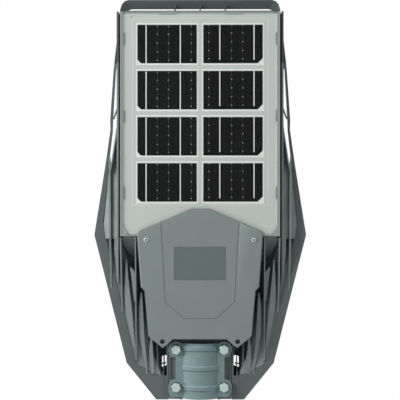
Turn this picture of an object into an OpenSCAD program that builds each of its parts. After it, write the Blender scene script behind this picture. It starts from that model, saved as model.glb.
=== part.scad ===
// Solar street lamp for a horizontal pole spigot.
// X runs across the lamp, Y from the pole clamp to the front bar, Z up to the solar panel.
// The origin is on the pole's axis, in the plane of the lamp's rear edge.

/* [Body] */
// Overall length, rear edge to front bar
body_l = 619; // [612:1:626]
// Widest span across the wings
body_w = 328; // [320:1:334]
// Distance from the rear edge to the widest point
knee_y = 255; // [250:1:260]
// Width across the rear edge
rear_w = 136; // [132:1:140]
// Top of the rim's outer edge, above the pole's axis
rim_top = 14.5; // [14.5:0.5:16]
// Level of the flat underside, below the pole's axis
under_z = -26; // [-28:0.5:-25]
// Wall thickness of the moulded housing
wall = 3; // [2.5:0.1:3.2]
// Thickness of the ribs in the wings
rib_t = 2; // [1.6:0.1:2.4]

/* [Panel] */
// Width of the solar panel
panel_w = 240; // [236:1:240]
// Length of the solar panel
panel_l = 341; // [338:1:341]
// Width of one solar cell
cell_w = 91; // [86:0.5:92]
// Length of one solar cell
cell_l = 59; // [56:0.5:60]
// Centre distance between the two columns of cells
column_pitch = 101; // [98:0.5:104]
// Centre distance between rows of cells
row_pitch = 70.7; // [68:0.1:72]

/* [Clamp] */
// Diameter of the pole that the clamp closes on
pole_d = 60; // [59:0.5:61]
// Thickness of the clamp's arch
clamp_t = 4; // [3.5:0.5:4]
// Distance between the bolts across the pole
bolt_dx = 74; // [73:0.5:75]
// Distance between the bolts along the pole
bolt_dy = 58; // [56:0.5:60]
// Level of the saddle's flange underside, above the pole's axis
flange_z = 17; // [16:0.5:18]

/* [Light] */
// Width of one lens module
module_w = 82; // [78:1:84]
// Length of one lens module
module_l = 124; // [118:1:126]
// Light-emitting diodes across one module
led_cols = 4; // [3:1:5]
// Light-emitting diodes along one module
led_rows = 7; // [5:1:8]

/* [Battery] */
// Diameter of one battery cell
battery_d = 32; // [26:1:32]
// Length of one battery cell
battery_l = 70; // [65:1:71]
// Number of battery cells
battery_n = 4; // [2:1:4]

/* [Hidden] */

$fn = 48;
gap = 0.1;            // play between parts that only touch

// Outline of the rim, from the rear edge to the front bar
shoulder = [114, 57];
knee = [body_w / 2, knee_y];
rail_foot = [139, 418];
rail_bend = [139.4, 433];
rail_head = [134, 512];
front_corner = [124, 604];
bar_w = 13.2;
rim_bottom = 3;
lip_z = 14;           // inner edge of the rim's flat lip
lip_t = 4;
skirt_x = 126.9;      // middle of the upright wall beside the tray
skirt_t = 2.8;
skirt_top = 30;

// Pole socket
pole_r = pole_d / 2;
clamp_y0 = 4;
clamp_y1 = 88;
socket_x = 49;        // inside of the socket's walls
socket_floor = -38;   // underside of the housing below the socket
cradle_top = flange_z - 3;
cradle_flange_t = 8;
bolt_y0 = 49.5 - bolt_dy / 2;
bolt_y1 = 49.5 + bolt_dy / 2;
bolt_r = 4;
bolt_hole_r = 4.5;
nut_bore_r = 4.05;
nut_af = 13;
nut_h = 6.5;
boss_bottom = -12;
boss_r = 9.4;
flange_t = 5;
flat_washer_t = 1.6;
spring_washer_t = 2;
bolt_head_h = 5.3;
bolt_l = 40;
bolt_seat = flange_z + flange_t + flat_washer_t + spring_washer_t;

// Battery box and light chamber
box_top = 36.6;
box_y0 = 99;
box_y1 = 250;
chamber_y1 = 598;
chamber_x0 = 98;      // half width at the underside
chamber_x1 = 118;     // half width at the top
chamber_top = 29;
floor_top = under_z + wall;
window = [176, 262];
window_y = 431;
sensor_y = 215;
sensor_dx = 42;
dome_r = 11;
button_r = 6;
led_window_r = 4;

// Panel stack, from the tray's floor up
tray_z = 29;
tray_t = 2.5;
tray_top = 38;
tray_y0 = 253.6;
tray_y1 = 598.9;
tray_x = 122.4;
tray_wall = 1.8;
tray_lip = 4.1;       // how far the tray's edge reaches over the panel, from outside
panel_y0 = 256;
panel_z = 33.2;
pad_t = panel_z - tray_z - tray_t;
backsheet_t = 2;
cell_t = 0.3;
ribbon_t = 0.2;
ribbon_w = 1.6;
front_z = panel_z + backsheet_t + cell_t + ribbon_t + 0.1;
front_t = 0.6;
clip_z = front_z + front_t + gap;
cell_y0 = panel_y0 + 50.5;     // rear edge of the last row of cells
cells_across = 2;
cells_along = 4;
clip_l = 21.4;
clip_y = [320, 438, 556];
cell_cuts = [5.5, 7.8];        // cut corners of the left and the right column
ribbon_start = [-1.5, 5.2];    // ribbon's rear end, from the rear edge of a cell
ribbon_end = [-1, 1.5];        // ribbon's front end, from the front edge of a cell

// Cover
cover_z = 38.4;
cover_t = 3;
cover_bevel = 1.4;
screw_x = 82.4;
screw_y = 248;
ear_x = 57.5;
ear_y = 92.6;
ear_hole_r = 3.7;
post_top = 28.8;
pilot_r = 1.95;
label = [79, 51];
label_y = 212;
label_depth = 0.8;
groove_w = 1.3;
groove_depth = 0.7;

// Light side
spreader_z = floor_top + gap;
spreader_t = 3;
board_t = 1.6;
led_z = spreader_z - board_t;
led_t = 0.8;
led_w = 3;
gasket_t = 1.6;
lens_t = 2.6;
lens_z = led_z - gasket_t - lens_t;
module_gap = 3;
bezel_z = lens_z - 1.5;

// Sensor side
sensor_board_z = -14;

function flip(p) = [-p[0], p[1], p[2]];
function reversed(list) = [for (i = [len(list) - 1:-1:0]) list[i]];
function norm_dir(a, b) = (b - a) / norm(b - a);

module both() {
    children();
    mirror([1, 0, 0]) children();
}

// Skin through a row of sections with the same number of points each.
// Seen from the start, every section runs anticlockwise. The first sides of a section are
// split along the other diagonal, so that a thin slab keeps its thickness. The end faces of a
// slab are split between its two rows of points, and other end faces from their first point.
module loft(sections, slab = false) {
    n = len(sections[0]);
    m = len(sections);
    sides = [
        for (i = [0:m - 2]) for (j = [0:n - 1])
            let (a = i * n + j, b = i * n + (j + 1) % n)
            for (t = 2 * j < n - 2 ? [[a, b, a + n], [b, b + n, a + n]]
                    : [[a, b, b + n], [a, b + n, a + n]]) t
    ];
    fan = [for (j = [1:n - 2]) [0, j, j + 1]];
    rows = [for (j = [0:n / 2 - 2])
        for (t = [[j, j + 1, n - 1 - j], [j + 1, n - 2 - j, n - 1 - j]]) t];
    end = slab ? rows : fan;
    first = [for (t = end) reversed(t)];
    last = [for (t = end) [for (k = t) (m - 1) * n + k]];
    polyhedron([for (s = sections) for (p = s) p], concat(sides, first, last));
}

// Plate in a plane of constant X: profile is a list of [y, z]
module rib(x, profile, t = rib_t) {
    translate([x - t / 2, 0, 0])
        rotate([90, 0, 90]) linear_extrude(t) polygon(profile);
}

// Round wire along a route, with 8 sides
module wire(route, r) {
    n = 8;
    m = len(route);
    dirs = [for (i = [0:m - 1]) norm_dir(route[max(i - 1, 0)], route[min(i + 1, m - 1)])];
    loft([for (i = [0:m - 1])
        let (
            d = dirs[i],
            u0 = cross(d, abs(d[2]) < 0.9 ? [0, 0, 1] : [1, 0, 0]),
            u = u0 / norm(u0),
            v = cross(d, u)
        )
        [for (k = [0:n - 1]) route[i] + r * (cos(k * 360 / n) * v + sin(k * 360 / n) * u)]
    ]);
}

// Smooth route through hand-picked points
function spline_point(a, b, c, d, t) =
    0.5 * ((2 * b) + (c - a) * t + (2 * a - 5 * b + 4 * c - d) * t * t
    + (3 * b - a - 3 * c + d) * t * t * t);
function smooth(points, steps = 4) =
    let (m = len(points)) concat(
        [for (i = [0:m - 2]) for (k = [0:steps - 1])
            spline_point(points[max(i - 1, 0)], points[i], points[i + 1],
                points[min(i + 2, m - 1)], k / steps)],
        [points[m - 1]]);

// ---------------------------------------------------------------- housing

// Each station of the rim: outer edge, inner edge and the inner edge's level
function rim_stations() = [
    [[socket_x, 0], [socket_x, 37], lip_z],
    [[rear_w / 2, 0], [76, 37], lip_z],
    [shoulder, [101.3, 58.6], lip_z],
    [knee, [146.5, 250], lip_z],
    [[161.3, 272], [150.7, 272], lip_z],
    [[147, 362], [141, 368], lip_z],
    [rail_foot, [135.5, 416], lip_z],
    [rail_bend, [135, 433], lip_z],
    [rail_head, [130.6, 512], lip_z],
    [[133.9, 513.5], [127, 513.5], lip_z - 2],
    [front_corner, [116, 600], lip_z - 4],
    [[121.5, 612], [111, 604], lip_z - 5],
    [[117, 617], [107, body_l - bar_w], lip_z - 6],
    [[111, body_l], [104, body_l - bar_w], lip_z - 6]
];

// Lip with a skirt turned down along its outer edge
function rim_section(s) =
    let (
        out = s[0],
        in = s[1],
        web = out + wall * norm_dir(out, in),
        fall = wall * (rim_top - s[2]) / norm(in - out)
    ) [
        [out[0], out[1], rim_top],
        [in[0], in[1], s[2]],
        [in[0], in[1], s[2] - lip_t],
        [web[0], web[1], rim_top - lip_t - fall],
        [web[0], web[1], rim_bottom],
        [out[0], out[1], rim_bottom]
    ];

module rim() {
    right = [for (s = rim_stations()) rim_section(s)];
    left = [for (s = reversed(right)) [for (p = s) flip(p)]];
    loft(concat(right, left));
}

// Skin through a row of edges, each given by its points at the underside, outer end first
module skin(edges) {
    up = [0, 0, wall];
    loft([for (e = edges) concat([for (p = e) p + up], reversed(e))], slab = true);
}

// Space above the middle of a skin
module skin_space(edges) {
    top = 60;
    up = [0, 0, wall / 2];
    loft([for (e = edges)
        concat([for (p = e) [p[0], p[1], top]], [for (p = reversed(e)) p + up])],
        slab = true);
}

// Floor of a wing: it leaves the rim gently and then falls to the keel
wing_front = [[151.5, 250.5, 10.5], [chamber_x0 - 3, 252, under_z]];
wing_edges = [
    [[68, 0, 10.5], [57, 0, 9.5], [46, 0, socket_floor]],
    [[78, 36, 10.5], [60, 36.5, 8.5], [52, 37, socket_floor]],
    [[104, 57.5, 10.5], [76, 76, 3], [62, 90, socket_floor]],
    [wing_front[0], (wing_front[0] + wing_front[1]) / 2, wing_front[1]]
];

// Slope beside the panel, rising from under the rim's lip to the upright wall. Its front end
// drops to the floor of a pocket behind the slanting wall.
slope_edges = [
    [[150.5, 249.5, 7.6], [skirt_x, 249.5, skirt_top - wall]],
    [[153.2, 272, 7.6], [skirt_x, 272, skirt_top - wall]],
    [[146.5, 335, 7.6], [skirt_x, 335, skirt_top - wall]],
    [[143.5, 363, 7.6], [skirt_x, 366, 15]],
    [[136.4, 366.5, 9], [skirt_x, 370, 12]],
    [[129, 418, 10], [skirt_x, 418, 10]]
];

// Walls that close a wing at its rear edge and at the panel
module wing_ends() {
    translate([0, wall, 0]) rotate([90, 0, 0]) linear_extrude(wall)
        polygon([[46.5, -36.5], [57.5, 10], [67.5, 11], [46.5, 11]]);
    translate([0, 252, 0]) rotate([90, 0, 0]) linear_extrude(wall)
        polygon([[97, -24.5], [150.5, 9.4], [skirt_x, 28], [skirt_x, 4], [97, 4]]);
}

// Straight rib between two plan points, with its top edge from z0 to z1
module slant_rib(p0, z0, p1, z1, t = rib_t) {
    run = norm(p1 - p0);
    translate([p0[0], p0[1], 0])
        rotate([0, 0, atan2(p1[1] - p0[1], p1[0] - p0[0])])
        rotate([90, 0, 0])
        translate([0, 0, -t / 2])
        linear_extrude(t) polygon([[0, socket_floor], [run, socket_floor], [run, z1], [0, z0]]);
}

// Ribs that stand on the wing's floor: front end, its level, rear end, its level, thickness
wing_ribs = [
    [[138.6, 252], 29, [138, 190], 15.2, 2.6],
    [[122.2, 253.2], 36.4, [120.8, 136], 14.5, 2.2],
    [[99.2, 252], 36.4, [99.2, 58], 14.5, 2],
    [[67.5, 88], 2, [66, 41], 10, 2],
    [[57, 86], -2, [57, 1], 4, 1.2]
];

// Broad fins: stations of Y, outer X, inner X and the inner edge's level
wing_fins = [
    [[180, 128.4, 126.8, 14.6], [192, 129.2, 126.2, 17.5], [231, 132.3, 125.8, 26],
        [251, 132, 125.6, 29.8]],
    [[80, 103, 100.8, 14.4], [100, 108, 102.2, 15.4], [123, 113.2, 104.2, 16.8],
        [148, 116.3, 106.5, 18.4], [170, 117, 109, 20], [192, 116, 111.3, 21.6],
        [217, 114.7, 113, 23]],
    [[152, 102.3, 99.4, 17], [196, 106.8, 99.4, 24], [206, 107.9, 107, 25]],
    [[39, 83.5, 82, 14.4], [53, 84.8, 82, 14.8], [76, 90, 84.4, 15.8], [100, 93.7, 86.5, 17.4],
        [123, 94.6, 87.6, 19], [139, 94.6, 88.4, 20.2], [154, 93.2, 89.2, 21.2],
        [166, 91.5, 90.3, 22]],
    [[40, 75.5, 71.4, 13.4], [53, 78.6, 71.8, 13.8], [76, 79.2, 73.4, 14.4],
        [96, 77, 74.6, 15]]
];

function fin_section(s) =
    let (fall = 0.18 * (s[1] - s[2])) [
        [s[1], s[0], s[3] - fall],
        [s[2], s[0], s[3]],
        [s[2], s[0], socket_floor],
        [s[1], s[0], socket_floor]
    ];

module wing_ribs_right() {
    intersection() {
        union() {
            for (r = wing_ribs) slant_rib(r[0], r[1], r[2], r[3], r[4]);
            for (f = wing_fins) loft([for (s = f) fin_section(s)]);
            // web across the drain slot
            translate([socket_x, 51, socket_floor]) cube([22, 1.2, 22]);
        }
        skin_space(wing_edges);
    }
    intersection() {
        slant_rib([139.4, 366], 27, [138.6, 250], 29, 2.6);
        skin_space(slope_edges);
    }
    // front end of the outer rib, its tail on the rim's lip, and the slanting wall
    slant_rib_up([140.2, 376], [139.4, 362], 11, 26);
    slant_rib_up([138.4, 200], [137.8, 172], 12.2, 15.2);
    slant_rib_up([127.6, 421], [135.7, 367], 9, 29);
    slant_rib_up([135.7, 368], [139, 352], 9, 28);
}

// Sloping walls that close the wing below the rear end of the panel
module wing_end_facets() {
    loft([
        [[90, 250, chamber_top], [90, 250, -24], [90, 206, -24], [90, 206, -12]],
        [[112, 250, chamber_top - 2], [112, 250, -20], [112, 228, -20], [112, 228, 4]],
        [[121, 250, chamber_top - 2], [121, 250, -12], [121, 239, -12], [121, 239, 8]]
    ]);
}

module box_plan(inset = 0) {
    offset(delta = -inset)
        polygon([
            [-64, box_y0], [64, box_y0], [76, 106], [81, 168], [86, 176], [91, box_y1],
            [-91, box_y1], [-86, 176], [-81, 168], [-76, 106]
        ]);
}

// Side profile of the central body, from the rear edge to the front, as [y, z]
module body_profile(inset = 0) {
    z = under_z + inset;
    low = socket_floor + inset;
    rotate([90, 0, 90]) translate([0, 0, -body_w / 2])
        linear_extrude(body_w)
        polygon([
            [-1, low], [92, low], [130, z], [580 - inset, z], [chamber_y1 - inset, -12],
            [chamber_y1 - inset, 60], [-1, 60]
        ]);
}

module battery_box() {
    difference() {
        intersection() {
            translate([0, 0, -40]) linear_extrude(box_top + 40) box_plan();
            body_profile();
        }
        intersection() {
            translate([0, 0, -40]) linear_extrude(90) box_plan(wall);
            body_profile(wall);
        }
    }
}

module chamber_section(x0, x1, top) {
    polygon([[-x0, under_z], [x0, under_z], [x1, 6], [x1, top], [-x1, top], [-x1, 6]]);
}

module light_chamber() {
    difference() {
        intersection() {
            translate([0, chamber_y1, 0]) rotate([90, 0, 0])
                linear_extrude(chamber_y1 - box_y1)
                chamber_section(chamber_x0, chamber_x1, chamber_top);
            body_profile();
        }
        intersection() {
            translate([0, chamber_y1 - wall, 0]) rotate([90, 0, 0])
                linear_extrude(chamber_y1 - box_y1 - 2 * wall)
                chamber_section(chamber_x0 - wall, chamber_x1 - wall, 60);
            body_profile(wall);
        }
        translate([-window[0] / 2, window_y - window[1] / 2, under_z - 1])
            cube([window[0], window[1], wall + 2]);
    }
}

// Upright wall beside the tray, with a shelf that joins it to the chamber
module side_skirt() {
    length = 350;
    outer = skirt_x + skirt_t / 2;
    translate([outer - skirt_t, 249, 2]) cube([skirt_t, length, skirt_top - 2]);
    translate([chamber_x1 - 1, 249, 2]) cube([outer - chamber_x1 + 1, length, wall]);
    slant_rib_up([127.5, 453.5], [134.4, 434.5], 6, lip_z);
}

// Short tie from the skirt to the rail
module slant_rib_up(p0, p1, z0, z1) {
    run = norm(p1 - p0);
    translate([p0[0], p0[1], z0])
        rotate([0, 0, atan2(p1[1] - p0[1], p1[0] - p0[0])])
        translate([0, -rib_t / 2, 0]) cube([run, rib_t, z1 - z0]);
}

module front_struts() {
    for (x = [-39, 0, 39])
        rib(x, [[596, -6], [body_l - 8, 4], [body_l - 8, 14.5], [596, 19]]);
}

module socket_walls() {
    both() translate([socket_x, 0, socket_floor]) cube([wall, 90, cradle_top - socket_floor]);
    translate([-socket_x - wall, clamp_y1 + 1, socket_floor])
        cube([2 * (socket_x + wall), wall, cradle_top - socket_floor]);
    translate([-62, 0, socket_floor]) intersection() {
        cube([124, 101, wall]);
        translate([62, 0, -1]) linear_extrude(wall + 2)
            polygon([[-47, 0], [47, 0], [62, 90], [62, 101], [-62, 101], [-62, 90]]);
    }
    for (x = [-20, 0, 20]) translate([x - 1, clamp_y1 + 2, socket_floor]) cube([2, 11, 46]);
}

// Posts that take the cover's screws
module cover_posts() {
    both() {
        translate([ear_x, ear_y, socket_floor]) cylinder(r = 6, h = post_top - socket_floor);
        translate([ear_x - 1, ear_y, socket_floor]) cube([2, 8, post_top - socket_floor]);
        translate([screw_x, screw_y, under_z]) cylinder(r = 5, h = box_top - under_z);
    }
}

module tray_posts() {
    for (y = [268, 432, 586]) both() translate([110, y, 4]) {
        cylinder(r = 4.6, h = chamber_top - 4);
        translate([0, -1, 0]) cube([7, 2, chamber_top - 4]);
    }
}

module drain_slot() {
    slot = [8, 16];
    translate([56.5, 54.6, socket_floor - 5]) linear_extrude(50)
        offset(r = 1.5, $fn = 16) square(slot - [3, 3], center = true);
}

module main_housing() {
    color("dimgray") difference() {
        union() {
            difference() {
                union() {
                    rim();
                    both() {
                        skin(wing_edges);
                        skin(slope_edges);
                        wing_ends();
                        wing_end_facets();
                        side_skirt();
                    }
                    front_struts();
                    battery_box();
                    light_chamber();
                    socket_walls();
                }
                both() drain_slot();
            }
            both() wing_ribs_right();
            cover_posts();
            tray_posts();
        }
        // pilot holes for the screws
        both() {
            translate([ear_x, ear_y, post_top - 14]) cylinder(r = pilot_r, h = 20);
            translate([ear_x, ear_y, post_top]) cylinder(r = 6.6, h = 20);
            translate([screw_x, screw_y, box_top - 16]) cylinder(r = pilot_r, h = 20);
        }
        for (y = [268, 432, 586]) both()
            translate([110, y, chamber_top - 16]) cylinder(r = pilot_r, h = 20);
        // wire pass, sensor, button and indicator holes
        translate([0, 262, 6]) rotate([90, 0, 0]) cylinder(r = 8, h = 20);
        translate([0, sensor_y, under_z - 2]) cylinder(r = dome_r + gap, h = 8);
        translate([-sensor_dx, sensor_y, under_z - 2]) cylinder(r = button_r + gap, h = 8);
        translate([sensor_dx, sensor_y, under_z - 2]) cylinder(r = led_window_r + gap, h = 8);
        spreader_screw_holes(under_z - 2, 8);
        at_feet() translate([0, 0, socket_floor - 1]) {
            cylinder(r = 4, h = 2.9);
            cylinder(r = 2.2, h = 6);
        }
        // mouth of the pole socket and room for the cradle
        translate([0, -2, 0]) rotate([-90, 0, 0]) cylinder(r = 34.4, h = clamp_y1 + 2.4);
        translate([-socket_x, -2, -15]) cube([2 * socket_x, clamp_y1 + 2.4, 60]);
    }
}

module spreader_screw_holes(z, h) {
    for (y = [window_y - 134, window_y + 134]) for (x = [-60, 0, 60])
        translate([x, y, z]) cylinder(r = 1.7, h = h);
}

// ---------------------------------------------------------------- clamp

module at_bolts() {
    for (x = [-bolt_dx / 2, bolt_dx / 2]) for (y = [bolt_y0, bolt_y1])
        translate([x, y, 0]) children();
}

module pole_bore(r = pole_r) {
    translate([0, -10, 0]) rotate([-90, 0, 0]) cylinder(r = r, h = 120, $fn = 96);
}

module pole_cradle() {
    color("slategray") difference() {
        union() {
            intersection() {
                rotate([-90, 0, 0]) cylinder(r = pole_r + clamp_t, h = clamp_y1, $fn = 96);
                translate([-60, -5, -60]) cube([120, 120, 60 + cradle_top]);
            }
            translate([-48, 4, cradle_top - cradle_flange_t])
                cube([96, clamp_y1 - 4, cradle_flange_t]);
            at_bolts() translate([0, 0, boss_bottom])
                cylinder(r = boss_r, h = cradle_top - boss_bottom - 1);
            for (x = [-36, 32]) translate([x, 30, -6]) cube([4, 37, 14]);
            at_feet() translate([0, 0, socket_floor + wall + gap]) cylinder(r = 5, h = 8);
        }
        pole_bore();
        at_feet() translate([0, 0, socket_floor]) cylinder(r = pilot_r, h = 10.5);
        at_bolts() {
            translate([0, 0, -40]) cylinder(r = bolt_hole_r, h = 80);
            translate([0, 0, boss_bottom - 20]) rotate([0, 0, 30])
                cylinder(d = (nut_af + 0.3) / cos(30), h = 27, $fn = 6);
        }
        // pockets beside the waist of the saddle
        both() translate([38.7, 31, cradle_top - 5]) cube([8.2, 34, 10]);
    }
}

module at_feet() {
    for (x = [-16, 16]) for (y = [24, 64]) translate([x, y, 0]) children();
}

module cradle_screws() {
    color("silver") at_feet() translate([0, 0, socket_floor + 0.1]) union() {
        cylinder(r = 3.6, h = 1.7);
        cylinder(r = pilot_r - 0.05, h = 10);
    }
}

module saddle_plan() {
    waist = 37.6;
    ear = 12;
    square_w = 2 * waist;
    translate([-waist, clamp_y0 + 1]) square([square_w, clamp_y1 - clamp_y0 - 3]);
    translate([-bolt_dx / 2, clamp_y0 + 1]) square([bolt_dx, clamp_y1 - clamp_y0 - 2.5]);
    for (x = [-bolt_dx / 2, bolt_dx / 2]) for (y = [bolt_y0, bolt_y1])
        translate([x, y]) circle(r = ear);
    for (s = [-1, 1]) {
        translate([s * (bolt_dx / 2 + 2.6), bolt_y0 - 6.3]) circle(r = 9.2);
        translate([s * (bolt_dx / 2 + 3), bolt_y1 + 2]) circle(r = 8.5);
    }
}

// Raised band across the arch, with sloping sides and rounded ends
module saddle_band(y) {
    foot = pole_r + clamp_t;
    crown = foot + 1.8;
    intersection() {
        translate([0, y, 0]) rotate([-90, 0, 0]) {
            cylinder(r1 = foot - 0.3, r2 = crown, h = 2.4, $fn = 96);
            translate([0, 0, 2.4]) cylinder(r = crown, h = 5.2, $fn = 96);
            translate([0, 0, 7.6]) cylinder(r1 = crown, r2 = foot - 0.3, h = 2.4, $fn = 96);
        }
        translate([0, y + 5, flange_z]) linear_extrude(30)
            offset(r = 4, $fn = 24) square([47, 2], center = true);
    }
}

module clamp_saddle() {
    color("slategray") difference() {
        union() {
            translate([0, 0, flange_z]) linear_extrude(flange_t) saddle_plan();
            intersection() {
                union() {
                    translate([0, clamp_y0 - 1.6, 0]) rotate([-90, 0, 0])
                        cylinder(r = pole_r + clamp_t, h = clamp_y1 - clamp_y0 + 1.6, $fn = 96);
                    for (y = [14, 44.5, 75]) saddle_band(y);
                }
                translate([-50, -5, flange_z]) cube([100, 120, 60]);
            }
        }
        pole_bore();
        at_bolts() translate([0, 0, 0]) cylinder(r = bolt_hole_r, h = 60);
    }
}

module flat_washers() {
    color("silver") at_bolts() translate([0, 0, flange_z + flange_t]) difference() {
        cylinder(r = 8, h = flat_washer_t);
        translate([0, 0, -1]) cylinder(r = bolt_hole_r, h = flat_washer_t + 2);
    }
}

// Split spring washer: a flat ring with a slanting cut
module spring_washers() {
    color("silver") at_bolts() translate([0, 0, flange_z + flange_t + flat_washer_t])
        difference() {
            cylinder(r = 6.9, h = spring_washer_t);
            translate([0, 0, -1]) cylinder(r = bolt_hole_r, h = spring_washer_t + 2);
            rotate([0, 25, 40]) translate([3, -0.5, -4]) cube([8, 1, 9]);
        }
}

module hex_bolt(x, y) {
    turn = 17 + 3 * x + y;
    color("silver") translate([x, y, bolt_seat]) {
        translate([0, 0, -bolt_l]) cylinder(r = bolt_r, h = bolt_l + 0.1);
        intersection() {
            rotate([0, 0, turn]) cylinder(d = nut_af / cos(30), h = bolt_head_h, $fn = 6);
            cylinder(r1 = nut_af / 2 + 1.73 * bolt_head_h, r2 = nut_af / 2, h = bolt_head_h);
        }
    }
}

module clamp_nuts() {
    color("silver") at_bolts() translate([0, 0, boss_bottom + 0.2]) difference() {
        rotate([0, 0, 30]) cylinder(d = nut_af / cos(30), h = nut_h, $fn = 6);
        translate([0, 0, -1]) cylinder(r = nut_bore_r, h = nut_h + 2);
    }
}

// ---------------------------------------------------------------- solar panel

module panel_tray() {
    depth = tray_y1 - tray_y0;
    color("gray") union() {
        difference() {
            translate([-tray_x, tray_y0, tray_z]) cube([2 * tray_x, depth, tray_top - tray_z]);
            translate([-tray_x + tray_wall, tray_y0 + tray_wall, tray_z + tray_t])
                cube([2 * (tray_x - tray_wall), depth - 2 * tray_wall, 20]);
            translate([-80, 300, tray_z - 1]) cube([160, 90, 10]);
            translate([-80, 470, tray_z - 1]) cube([160, 90, 10]);
            for (y = [268, 432, 586]) both()
                translate([110, y, tray_z - 1]) cylinder(r = 2.2, h = 10);
        }
        both() {
            // lip along the sides, with clips
            translate([tray_x - tray_lip, tray_y0, clip_z]) cube([tray_lip, depth, 1]);
            for (y = clip_y) translate([tray_x - tray_lip, y, clip_z]) linear_extrude(1)
                polygon([
                    [0.2, -clip_l / 2], [0.2, clip_l / 2], [-1.9, clip_l / 2 - 2],
                    [-1.9, 2 - clip_l / 2]
                ]);
            // gussets over the rear corners
            translate([0, 0, clip_z]) linear_extrude(1)
                polygon([
                    [tray_x - 0.4, tray_y0], [tray_x - 0.4, tray_y0 + 15],
                    [panel_w / 2 - 2, tray_y0 + 14], [panel_w / 2 - 9, tray_y0 + 5],
                    [panel_w / 2 - 9, tray_y0]
                ]);
        }
        // lip along the front edge
        translate([-tray_x, tray_y1 - 3, clip_z]) cube([2 * tray_x, 3, 1]);
        // clips at the front
        for (x = [-64, 38])
            translate([x, tray_y1 - 4.6, clip_z]) cube([27, 4.2, 1]);
    }
}

module tray_screws() {
    color("silver") for (y = [268, 432, 586]) both()
        translate([110, y, tray_z + tray_t]) {
            cylinder(r = 4, h = 1.5);
            translate([0, 0, -14]) cylinder(r = pilot_r - 0.05, h = 14.5);
        }
}

module adhesive_pads() {
    color("white") {
        both() for (y = [290, 452]) translate([84, y, tray_z + tray_t])
            cube([10, 118, pad_t]);
        for (y = [276, 582]) translate([-70, y, tray_z + tray_t]) cube([140, 9, pad_t]);
    }
}

module panel_plan() {
    cut = 8;
    x = panel_w / 2;
    y0 = panel_y0;
    y1 = panel_y0 + panel_l;
    polygon([
        [-x + cut, y0], [x - cut, y0], [x, y0 + cut], [x, y1], [-x, y1], [-x, y0 + cut]
    ]);
}

module panel_backsheet() {
    color("gainsboro") translate([0, 0, panel_z]) linear_extrude(backsheet_t) panel_plan();
}

module panel_front_sheet() {
    color("lightgray") translate([0, 0, front_z]) linear_extrude(front_t) panel_plan();
}

// One cell, rear outer corner cut
module cell_plan(cut) {
    polygon([[0, 0], [cell_w - cut, 0], [cell_w, cut], [cell_w, cell_l], [0, cell_l]]);
}

// Places along one column of cells: 0 is the left one, 1 the right one
module at_column(side) {
    x = (column_pitch - cell_w) / 2;
    for (k = [0:cells_along - 1]) mirror([1 - side, 0, 0])
        translate([x, cell_y0 + k * row_pitch, 0]) children();
}

module solar_cells() {
    color("black") for (side = [0, 1]) at_column(side)
        translate([0, 0, panel_z + backsheet_t]) linear_extrude(cell_t) cell_plan(cell_cuts[side]);
}

// Two tinned ribbons on each cell
module cell_ribbons() {
    z = panel_z + backsheet_t + cell_t;
    color("silver") for (side = [0, 1]) at_column(side) for (x = [25.3, 77.7])
        translate([x - ribbon_w / 2, ribbon_start[side], z])
            cube([ribbon_w, cell_l + ribbon_end[side] - ribbon_start[side], ribbon_t]);
}

module panel_junction() {
    color("dimgray") translate([-15, 505, tray_z + 0.4]) union() {
        cube([30, 22, panel_z - tray_z - 0.5]);
        translate([8, -5, 0]) cube([14, 6, 3]);
    }
}

// ---------------------------------------------------------------- cover

cover_half = [
    [14, 296], [93.9, 262], [96.2, 256], [90.2, 175.4], [84.9, 170], [79.2, 101.1],
    [73.7, 95.6], [67, 90.5], [57.2, 82.6], [50, 87.6], [41.5, 95.7]
];

module cover_plan(inset = 0) {
    left = [for (p = reversed(cover_half)) [-p[0], p[1]]];
    offset(r = 1.5, $fn = 16) offset(delta = -1.5 - inset) polygon(concat(cover_half, left));
}

// Outline of the raised field on the cover
field_half = [[16, 302], [60.8, 282], [53.7, 153], [24.5, 127]];
field_points = concat(field_half, [for (p = reversed(field_half)) [-p[0], p[1]]]);

module battery_cover() {
    ear_tube_z = 31;
    color("gray") difference() {
        union() {
            translate([0, 0, cover_z]) linear_extrude(cover_t - cover_bevel) cover_plan();
            loft_slab();
            both() translate([ear_x, ear_y, post_top + gap])
                cylinder(r = 6.2, h = cover_z - post_top);
        }
        // engraved line round the raised field
        translate([0, 0, cover_z + cover_t - groove_depth]) linear_extrude(5) difference() {
            polygon(field_points);
            offset(delta = -groove_w) polygon(field_points);
        }
        // recess for the rating plate
        translate([0, label_y, cover_z + cover_t - label_depth]) linear_extrude(5)
            offset(r = 2, $fn = 24) square([label[0] - 4, label[1] - 4], center = true);
        both() {
            translate([ear_x, ear_y, ear_tube_z]) cylinder(r = ear_hole_r, h = 20);
            translate([ear_x, ear_y, post_top - 1]) cylinder(r = 2.2, h = 20);
            translate([screw_x, screw_y, cover_z - 1]) cylinder(r = 2.2, h = 20);
        }
    }
}

// Upper part of the cover, drawn in by its bevel
module loft_slab() {
    z = cover_z + cover_t - cover_bevel;
    hull() {
        translate([0, 0, z - 0.1]) linear_extrude(0.1) cover_upper(0);
        translate([0, 0, z + cover_bevel - 0.1]) linear_extrude(0.1) cover_upper(cover_bevel);
    }
    linear_step(z);
}

// The convex part of the cover, in front of the ears
module cover_upper(inset) {
    intersection() {
        cover_plan(inset);
        translate([-150, 176]) square([300, 200]);
    }
}

// The rest of the cover, in two steps
module linear_step(z) {
    translate([0, 0, z]) linear_extrude(cover_bevel / 2) intersection() {
        cover_plan(cover_bevel / 4);
        translate([-150, 50]) square([300, 126.1]);
    }
    translate([0, 0, z + cover_bevel / 2]) linear_extrude(cover_bevel / 2) intersection() {
        cover_plan(cover_bevel * 0.75);
        translate([-150, 50]) square([300, 126.1]);
    }
}

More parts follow.
